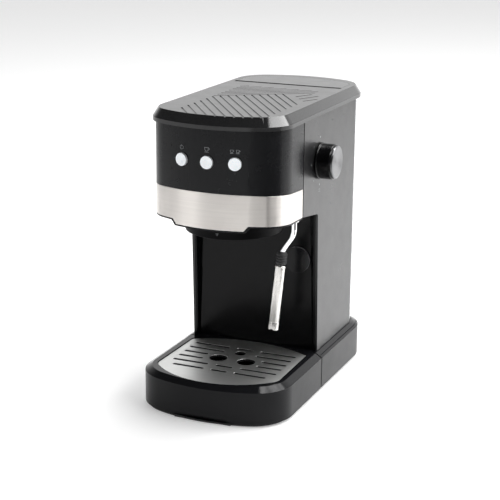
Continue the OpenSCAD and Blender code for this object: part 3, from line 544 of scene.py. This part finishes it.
def swept(path, radius, sides=40):
    """Closed round tube of one radius along a path."""
    shape = bmesh.new()
    rings = []
    normal = None
    for index, place in enumerate(path):
        before = path[max(index - 1, 0)]
        after = path[min(index + 1, len(path) - 1)]
        tangent = (after - before).normalized()
        if normal is None:
            normal = tangent.orthogonal().normalized()
        normal = (normal - tangent * normal.dot(tangent)).normalized()
        side = tangent.cross(normal)
        rings.append([
            shape.verts.new(place + radius * (math.cos(turn) * normal + math.sin(turn) * side))
            for turn in (2 * math.pi * step / sides for step in range(sides))
        ])
    for low, high in zip(rings, rings[1:]):
        for step in range(sides):
            after = (step + 1) % sides
            shape.faces.new((low[step], low[after], high[after], high[step]))
    shape.faces.new(rings[0][::-1])
    shape.faces.new(rings[-1])
    return shape


def rounded_path(corners, radius, steps=12):
    """A path through corners, with each inner corner turned into an arc-like bend."""
    path = [corners[0]]
    for before, corner, after in zip(corners, corners[1:], corners[2:]):
        start = corner + (before - corner).normalized() * radius
        end = corner + (after - corner).normalized() * radius
        for step in range(steps + 1):
            t = step / steps
            path.append((1 - t) ** 2 * start + 2 * t * (1 - t) * corner + t ** 2 * end)
    path.append(corners[-1])
    return path


def carve(piece, cutter):
    """Cuts one mesh out of another for good, and removes the cutter."""
    modifier = piece.modifiers.new("cut", "BOOLEAN")
    modifier.object = cutter
    modifier.operation = "DIFFERENCE"
    modifier.solver = "EXACT"
    bpy.context.view_layer.update()
    graph = bpy.context.evaluated_depsgraph_get()
    mesh = bpy.data.meshes.new_from_object(piece.evaluated_get(graph))
    piece.modifiers.clear()
    piece.data = mesh
    bpy.data.objects.remove(cutter)


# ---------- Steam knob ----------
def steam_knob():
    """Knob barrel with a flange against the panel and a lip round its face."""
    low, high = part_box("steam_knob")
    centre = middle("steam_knob")
    origin = Vector((low.x, centre.y, centre.z))
    flange = (high.z - low.z) / 2
    barrel = flange - 0.8 * MM
    length = high.x - low.x
    hollow = barrel - 2.2 * MM
    profile = fillet([
        (0, 3.0 * MM, 0), (hollow, 3.0 * MM, 0), (hollow, 0.2 * MM, 0),
        (flange, 0.2 * MM, 0.5 * MM), (flange, 1.7 * MM, 0.6 * MM),
        (barrel, 2.3 * MM, 0.3 * MM), (barrel, length - 1.7 * MM, 0.4 * MM),
        (barrel - 0.9 * MM, length - 0.5 * MM, 0.4 * MM),
        (barrel - 1.3 * MM, length - 0.4 * MM, 0.2 * MM),
        (barrel - 1.3 * MM, length - 1.1 * MM, 0), (0, length - 1.1 * MM, 0),
    ])
    shape = turned(profile, origin, Vector((1, 0, 0)), 128)
    piece = make_piece("knob_barrel", shape, "gloss_plastic", "knob", knob_black)
    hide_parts("steam_knob")


def knob_face():
    """Metal disc set into the knob, slightly dished."""
    low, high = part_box("knob_face")
    centre = middle("knob_face")
    radius = (high.z - low.z) / 2 - 1.0 * MM
    origin = Vector((low.x, centre.y, centre.z))
    depth = high.x - low.x
    profile = fillet([
        (0, -0.4 * MM, 0), (radius, -0.4 * MM, 0.1 * MM), (radius, depth - 0.5 * MM, 0.5 * MM),
        (radius - 0.8 * MM, depth, 0.4 * MM), (radius * 0.55, depth - 0.25 * MM, 1 * MM),
        (0, depth - 0.45 * MM, 0),
    ])
    shape = turned(profile, origin, Vector((1, 0, 0)), 128)
    piece = make_piece("knob_disc", shape, "knob_metal", "knob")
    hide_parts("knob_face")


# ---------- Push buttons ----------
def push_button(node, body, name):
    """Cap with a raised rim, a shallow dish and its flange and stem behind."""
    axis = Vector(joints[body.replace("_body", "_press")]["axis"])
    cad = frame["nodes"][node].data.vertices
    along = [vertex.co.dot(axis) for vertex in cad]
    front = min(along)
    back = max(along)
    rim = [vertex.co for vertex in cad if vertex.co.dot(axis) < front + 0.1 * MM]
    centre = sum(rim, Vector()) / len(rim)
    origin = centre + axis * (front - centre.dot(axis))
    face_r = max((point - origin).length for point in rim)
    flange_r = face_r + 1.3 * MM
    stem_r = 2.2 * MM
    depth = back - front
    flange_front = depth - 4.4 * MM
    flange_back = depth - 3.0 * MM
    profile = fillet([
        (0, 0.45 * MM, 0), (face_r * 0.5, 0.35 * MM, 1 * MM),
        (face_r - 1.3 * MM, 0.15 * MM, 0.4 * MM),
        (face_r - 0.7 * MM, 0.0, 0.2 * MM), (face_r, 0.3 * MM, 0.4 * MM),
        (face_r, flange_front, 0), (flange_r, flange_front, 0.2 * MM),
        (flange_r, flange_back, 0.2 * MM), (stem_r, flange_back, 0),
        (stem_r, depth, 0.3 * MM), (0, depth, 0),
    ])
    piece = make_piece(name, turned(profile, origin, axis, 96), "button_plastic", body)
    piece.data.materials.append(button_side)
    for face in piece.data.polygons:
        if face.normal.dot(axis) > -0.6:
            face.material_index = 1
    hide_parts(node)


# ---------- Steam wand ----------
def wand_line():
    """The wand's lower axis: its direction, the sleeve's middle and the sleeve's two ends."""
    axis = Vector(joints["froth_sleeve_pull"]["axis"]).normalized()
    cad = [vertex.co for vertex in frame["nodes"]["froth_sleeve"].data.vertices]
    centre = middle("froth_sleeve")
    along = [(point - centre).dot(axis) for point in cad]
    return axis, centre, min(along), max(along)


def steam_wand():
    """Bent steam tube and the ribbed rubber grip round it."""
    axis, centre, _, bottom = wand_line()
    pivot = joint_place("wand_swivel")
    tube_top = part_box("wand_tube")[1].z
    radius = STEAM_TUBE_RADIUS
    grip = [vertex.co for vertex in frame["nodes"]["wand_grip"].data.vertices]
    grip_top = min((point - centre).dot(axis) for point in grip)
    grip_end = max((point - centre).dot(axis) for point in grip)
    elbow = Vector((pivot.x, pivot.y, WAND_ELBOW_Z))
    bend = centre + axis * (grip_top - 0.4 * MM)
    path = rounded_path([Vector((pivot.x, pivot.y, tube_top)), elbow, bend,
                         centre + axis * (bottom - 6 * MM)], 6 * MM)
    tube = make_piece("steam_tube", swept(path, radius), "wand_chrome", "wand")
    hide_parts("wand_tube")

    start = centre + axis * grip_top
    length = grip_end - grip_top
    outer = 5.8 * MM
    valley = 4.9 * MM
    ribs = 4
    pitch = (length - 3.2 * MM) / ribs
    profile = [(radius, 0, 0), (4.0 * MM, 0, 0.8 * MM), (valley, 1.4 * MM, 0.8 * MM)]
    for rib in range(ribs):
        base = 1.8 * MM + rib * pitch
        profile += [(valley, base, 0.3 * MM), (outer, base + 0.25 * pitch, 0.5 * MM),
                    (outer, base + 0.75 * pitch, 0.5 * MM)]
    profile += [(5.0 * MM, length - 0.8 * MM, 0.3 * MM), (4.6 * MM, length, 0.4 * MM),
                (radius, length, 0)]
    sleeve = hollow_turned(fillet(profile), start, axis)
    piece = make_piece("rubber_grip", sleeve, "rubber", "wand")
    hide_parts("wand_grip")


def froth_sleeve():
    """Steel sleeve: narrow bore above, wide chamber below, a steam notch and an air hole."""
    axis, centre, top, bottom = wand_line()
    length = bottom - top
    bore = 2.78 * MM
    chamber = 4.1 * MM
    outer = 5.4 * MM
    collar = 5.8 * MM
    ring = 5.2 * MM
    profile = fillet([
        (bore, 0, 0), (5.3 * MM, 0, 0.5 * MM), (collar, 0.7 * MM, 0.3 * MM),
        (collar, 2.0 * MM, 0.3 * MM), (outer, 2.4 * MM, 0.3 * MM),
        (outer, length - 9.0 * MM, 0), (ring, length - 8.7 * MM, 0),
        (ring, length - 8.2 * MM, 0), (outer, length - 7.9 * MM, 0),
        (outer, length - 0.5 * MM, 0.4 * MM), (5.0 * MM, length, 0.2 * MM),
        (chamber, length, 0.2 * MM), (chamber, length - 14 * MM, 0.4 * MM),
        (bore, length - 15 * MM, 0),
    ])
    shape = hollow_turned(profile, centre + axis * top, axis, 96)
    piece = make_piece("froth_tube", shape, "sleeve_steel", "sleeve")
    # Steam notch across the open end and the small air hole near the top
    hole_place = centre + axis * (top + 16 * MM) + Vector((-5, -5, 0)) * MM
    cutters = [
        (centre + axis * bottom, Vector((0, 1, 0)), 2.0 * MM, 30 * MM),
        (hole_place, Vector((-1, -1, 0)).normalized(), 0.9 * MM, 6 * MM),
    ]
    for place, direction, radius, reach in cutters:
        half = reach / 2
        cut_shape = turned([(0, -half), (radius, -half), (radius, half), (0, half)],
                           place, direction, 32)
        bmesh.ops.recalc_face_normals(cut_shape, faces=cut_shape.faces)
        mesh = bpy.data.meshes.new("cutter")
        cut_shape.to_mesh(mesh)
        cut_shape.free()
        carve(piece, new_object("cutter", mesh))
    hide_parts("froth_sleeve")


# ---------- Printed marks ----------
def ribbon(points, width, thickness, place, closed=False):
    """Flat line of the given width through 2-D points, laid on a surface by place(u, v, height)."""
    shape = bmesh.new()
    count = len(points)
    rows = []
    for index, point in enumerate(points):
        before = points[index - 1] if closed or index else point
        after = points[(index + 1) % count] if closed or index < count - 1 else point
        direction = (Vector(after) - Vector(before)).normalized()
        normal = Vector((-direction.y, direction.x)) * width / 2
        left = Vector(point) + normal
        right = Vector(point) - normal
        rows.append([shape.verts.new(place(*left, 0)), shape.verts.new(place(*right, 0)),
                     shape.verts.new(place(*right, thickness)),
                     shape.verts.new(place(*left, thickness))])
    pairs = list(zip(rows, rows[1:]))
    if closed:
        pairs.append((rows[-1], rows[0]))
    for low, high in pairs:
        for side in range(4):
            after = (side + 1) % 4
            shape.faces.new((low[side], low[after], high[after], high[side]))
    if not closed:
        shape.faces.new(rows[0][::-1])
        shape.faces.new(rows[-1])
    return shape


def on_fascia(node, joint):
    """A placing function for marks above a button, on the crowned front."""
    axis = Vector(joints[joint]["axis"])
    cad = [vertex.co for vertex in frame["nodes"][node].data.vertices]
    front = min(point.dot(axis) for point in cad)
    rim = [point for point in cad if point.dot(axis) < front + 0.1 * MM]
    centre = sum(rim, Vector()) / len(rim)
    mark_set_back = 1.8 * MM
    surface = centre + axis * mark_set_back
    hub = surface + axis * CROWN_RADIUS
    turn_0 = math.atan2(surface.x - hub.x, -(surface.y - hub.y))

    def place(u, v, height):
        turn = turn_0 + u / CROWN_RADIUS
        reach = CROWN_RADIUS + height - MARK_SUNK
        return Vector((hub.x + reach * math.sin(turn), hub.y - reach * math.cos(turn),
                       surface.z + v))
    return place


def arc_points(cx, cy, radius, start, end, steps=20):
    """Points on an arc round (cx, cy), from start to end in degrees."""
    return [(cx + radius * math.cos(math.radians(start + (end - start) * step / steps)),
             cy + radius * math.sin(math.radians(start + (end - start) * step / steps)))
            for step in range(steps + 1)]


def cup_lines(x, y, size):
    """Side view of a cup: bowl, handle and saucer, as lists of points."""
    half_bowl = [(1, 1), (0.85, -0.2), (0.4, -0.8)]
    bowl = [(x - size * across, y + size * rise) for across, rise in half_bowl]
    bowl += [(x + size * across, y + size * rise) for across, rise in reversed(half_bowl)]
    bowl.append(bowl[0])
    handle = arc_points(x + size * 1.05, y + size * 0.25, size * 0.45, 90, -80, 10)
    saucer = [(x - size * 1.1, y - size * 1.3), (x + size * 1.1, y - size * 1.3)]
    return [bowl, handle, saucer]


def printed_marks():
    """Plain marks above the three buttons."""
    lift = 11.6 * MM
    width = 0.32 * MM
    marks = {
        "power_mark": ("power_button", "power_button_press",
                       [arc_points(0, lift, 1.9 * MM, 120, 420, 28),
                        [(0, lift + 0.4 * MM), (0, lift + 2.5 * MM)]]),
        "one_cup_mark": ("single_cup_button", "single_cup_button_press",
                         cup_lines(-0.2 * MM, lift + 0.6 * MM, 1.9 * MM)),
        "two_cup_mark": ("double_cup_button", "double_cup_button_press",
                         cup_lines(-3.0 * MM, lift + 0.4 * MM, 1.4 * MM)
                         + cup_lines(2.6 * MM, lift + 0.4 * MM, 1.4 * MM)),
    }
    for name, (node, joint, lines) in marks.items():
        place = on_fascia(node, joint)
        for index, line in enumerate(lines):
            shape = ribbon(line, width, MARK_HEIGHT, place)
            make_piece(f"{name}_{index + 1}", shape, "button_plastic", "machine", print_white)


def dial_marks():
    """Dots round the knob that show how far the steam valve is open."""
    centre = middle("steam_knob")
    panel_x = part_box("right_side_panel")[1].x
    ring = 24 * MM
    for index, turn in enumerate(range(90, 271, 45)):
        size = 0.65 * MM if 90 < turn < 270 else 0.95 * MM
        angle = math.radians(turn)
        origin = Vector((panel_x - MARK_SUNK, centre.y + ring * math.cos(angle),
                         centre.z + ring * math.sin(angle)))
        shape = turned([(0, 0), (size, 0), (size, 0.07 * MM), (0, 0.07 * MM)], origin,
                       Vector((1, 0, 0)), 24)
        make_piece(f"dial_dot_{index + 1}", shape, "button_plastic", "machine", print_white)

    def place(u, v, height):
        return Vector((panel_x - 0.02 * MM + height, centre.y + u, centre.z - ring - 6 * MM + v))
    for index in range(2):
        wave = [(x * MM, (0.5 * math.sin(x * 2.4) + (index - 0.5) * 2.2) * MM)
                for x in (-2.4 + 0.3 * step for step in range(17))]
        make_piece(f"steam_mark_{index + 1}", ribbon(wave, 0.3 * MM, MARK_HEIGHT, place),
                   "button_plastic", "machine", print_white)


def lock_mark():
    """Small pointer on the skirt that shows where the filter holder locks."""
    low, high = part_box("group_skirt")
    centre = middle("group_skirt")
    radius = (high.x - low.x) / 2

    def place(u, v, height):
        turn = u / radius + math.radians(4)
        reach = radius + height - MARK_SUNK
        return Vector((centre.x + reach * math.sin(turn), centre.y - reach * math.cos(turn),
                       low.z + 5 * MM + v))
    triangle = [(0, -1.4 * MM), (1.1 * MM, 0.8 * MM), (-1.1 * MM, 0.8 * MM)]
    make_piece("lock_mark", ribbon(triangle, 0.4 * MM, MARK_HEIGHT, place, closed=True),
               "button_plastic", "machine", print_white)


steam_knob()
knob_face()
push_button("power_button", "power_button_body", "power_cap")
push_button("single_cup_button", "single_cup_button_body", "one_cup_cap")
push_button("double_cup_button", "double_cup_button_body", "two_cup_cap")
steam_wand()
froth_sleeve()
printed_marks()
dial_marks()
lock_mark()


# ---------- Floor, light and camera ----------
def floor():
    """Pale floor that glows a little, so that it stays nearly white."""
    size = 6.0
    mesh = bpy.data.meshes.new("floor")
    mesh.from_pydata([(-size, -size, 0), (size, -size, 0), (size, size, 0), (-size, size, 0)],
                     [], [(0, 1, 2, 3)])
    plane = new_object("floor", mesh)
    material, shader = new_material("pale floor")
    shader.inputs["Base Color"].default_value = (0.72, 0.72, 0.72, 1)
    shader.inputs["Roughness"].default_value = 0.7
    shader.inputs["Emission Color"].default_value = WHITE
    shader.inputs["Emission Strength"].default_value = 0.36
    mesh.materials.append(material)


def softbox(name, place, aim, width, height, power, along=Vector((0, 0, 1))):
    """Soft light at place that faces aim; its height runs as near to along as it can."""
    light = bpy.data.lights.new(name, "AREA")
    light.shape = "RECTANGLE"
    light.size = width
    light.size_y = height
    light.energy = power
    lamp = new_object(name, light)
    lamp.visible_camera = False
    back = (place - aim).normalized()
    up = (along - back * along.dot(back)).normalized()
    side = up.cross(back)
    lamp.matrix_world = axes_at(side, up, back, place)


def dark_cloth(name, start, end, near, far):
    """Black cloth on the floor that only reflections see: a ring sector, turned from -Y to +X."""
    material, shader = new_material(name)
    shader.inputs["Base Color"].default_value = (0.01, 0.01, 0.01, 1)
    shader.inputs["Roughness"].default_value = 0.9
    steps = 12
    lift = 0.5 * MM
    turns = [math.radians(start + (end - start) * step / steps) for step in range(steps + 1)]
    inner = [(near * math.sin(turn), -near * math.cos(turn), lift) for turn in turns]
    outer = [(far * math.sin(turn), -far * math.cos(turn), lift) for turn in turns]
    mesh = bpy.data.meshes.new(name)
    mesh.from_pydata(inner + outer, [], [(step, step + 1, steps + 2 + step, steps + 1 + step)
                                         for step in range(steps)])
    mesh.materials.append(material)
    cloth = new_object(name, mesh)
    cloth.visible_camera = False
    cloth.visible_diffuse = False
    cloth.visible_shadow = False


def world_light(front, rear):
    """Plain white surroundings, dim on the side of the front and bright at the rear."""
    world = bpy.data.worlds.new("studio")
    bpy.context.scene.world = world
    world.use_nodes = True
    tree = world.node_tree
    background = tree.nodes["Background"]
    background.inputs["Color"].default_value = WHITE
    coords = tree.nodes.new("ShaderNodeTexCoord")
    parts = tree.nodes.new("ShaderNodeSeparateXYZ")
    ramp = tree.nodes.new("ShaderNodeMapRange")
    ramp.interpolation_type = "SMOOTHSTEP"
    ramp.inputs["From Min"].default_value = 0.15
    ramp.inputs["From Max"].default_value = 0.8
    ramp.inputs["To Min"].default_value = front
    ramp.inputs["To Max"].default_value = rear
    tree.links.new(coords.outputs["Generated"], parts.inputs[0])
    tree.links.new(parts.outputs["Y"], ramp.inputs["Value"])
    tree.links.new(ramp.outputs["Result"], background.inputs["Strength"])


def camera():
    """Camera to the right of the front and a little above, with a long lens."""
    azimuth = math.radians(22.88)
    elevation = math.radians(15.74)
    roll = math.radians(0.518)
    target = Vector((-51.96, 86.74, 109.98)) * MM
    distance = 1549.9 * MM
    back = Vector((math.sin(azimuth) * math.cos(elevation),
                   -math.cos(azimuth) * math.cos(elevation), math.sin(elevation)))
    level_right = Vector((math.cos(azimuth), math.sin(azimuth), 0))
    level_up = back.cross(level_right)
    right = math.cos(roll) * level_right + math.sin(roll) * level_up
    up = back.cross(right)
    data = bpy.data.cameras.new("camera")
    data.lens = 100.33
    data.sensor_width = 36
    data.clip_start = 0.05
    data.clip_end = 50
    view = new_object("camera", data)
    view.matrix_world = axes_at(right, up, back, target + back * distance)
    bpy.context.scene.camera = view


bpy.context.scene.view_settings.view_transform = "Standard"
floor()
world_light(front=0.10, rear=1.5)
# Light sizes and places are in metres, powers in watts; all but the rear one face the machine
aim = Vector((0, 0, 0.15))
softbox("overhead", Vector((0.24, 0.6, 1.95)), aim, 0.6, 0.95, 24)
softbox("high_right", Vector((1.3, 0.2, 1.4)), aim, 0.45, 2.1, 32, Vector((0.06, 0.94, -0.33)))
softbox("rear", Vector((0.5, 1.2, 2.2)), Vector((0.5, 1.0, 0)), 1.2, 1.2, 28)
softbox("left", Vector((-1.25, -1.3, 0.9)), aim, 0.8, 1.2, 4)
dark_cloth("far_cloth", start=20, end=88, near=0.62, far=1.7)
dark_cloth("near_cloth", start=38, end=70, near=0.28, far=0.62)
camera()
